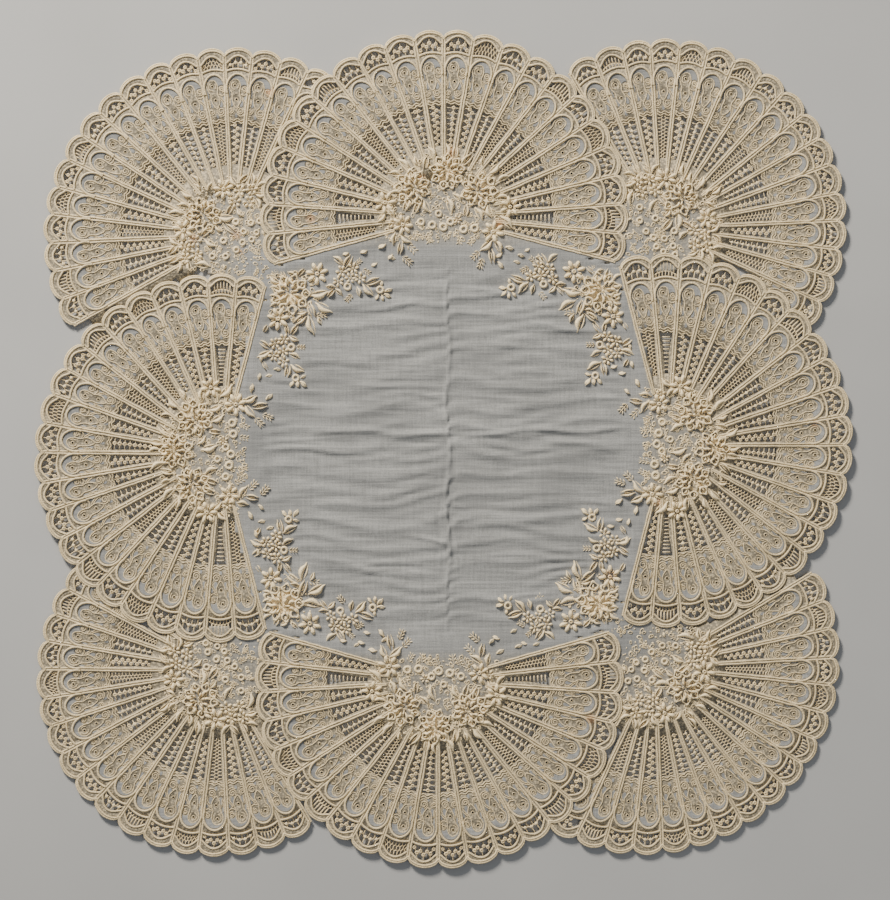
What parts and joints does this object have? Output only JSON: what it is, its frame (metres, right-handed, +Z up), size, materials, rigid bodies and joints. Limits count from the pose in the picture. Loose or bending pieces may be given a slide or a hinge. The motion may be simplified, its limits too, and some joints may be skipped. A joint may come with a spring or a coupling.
{
  "type": "handkerchief",
  "caption": "Square whitework handkerchief lying flat, with overlapping embroidered fans for a border, a scalloped edge and a sheer creased centre.",
  "frame": {"origin": "on the surface that the cloth lies on, under the middle of its box", "axes": "+Z up off the surface, +Y towards the picture's top edge, +X towards its right edge"},
  "size_m": [0.4578, 0.4688, 0.003],
  "materials": {
    "cotton": "matt cream embroidery on sheer grey-white batiste"
  },
  "bodies": {
    "root": {"handkerchief": "cotton"}
  },
  "joints": []
}
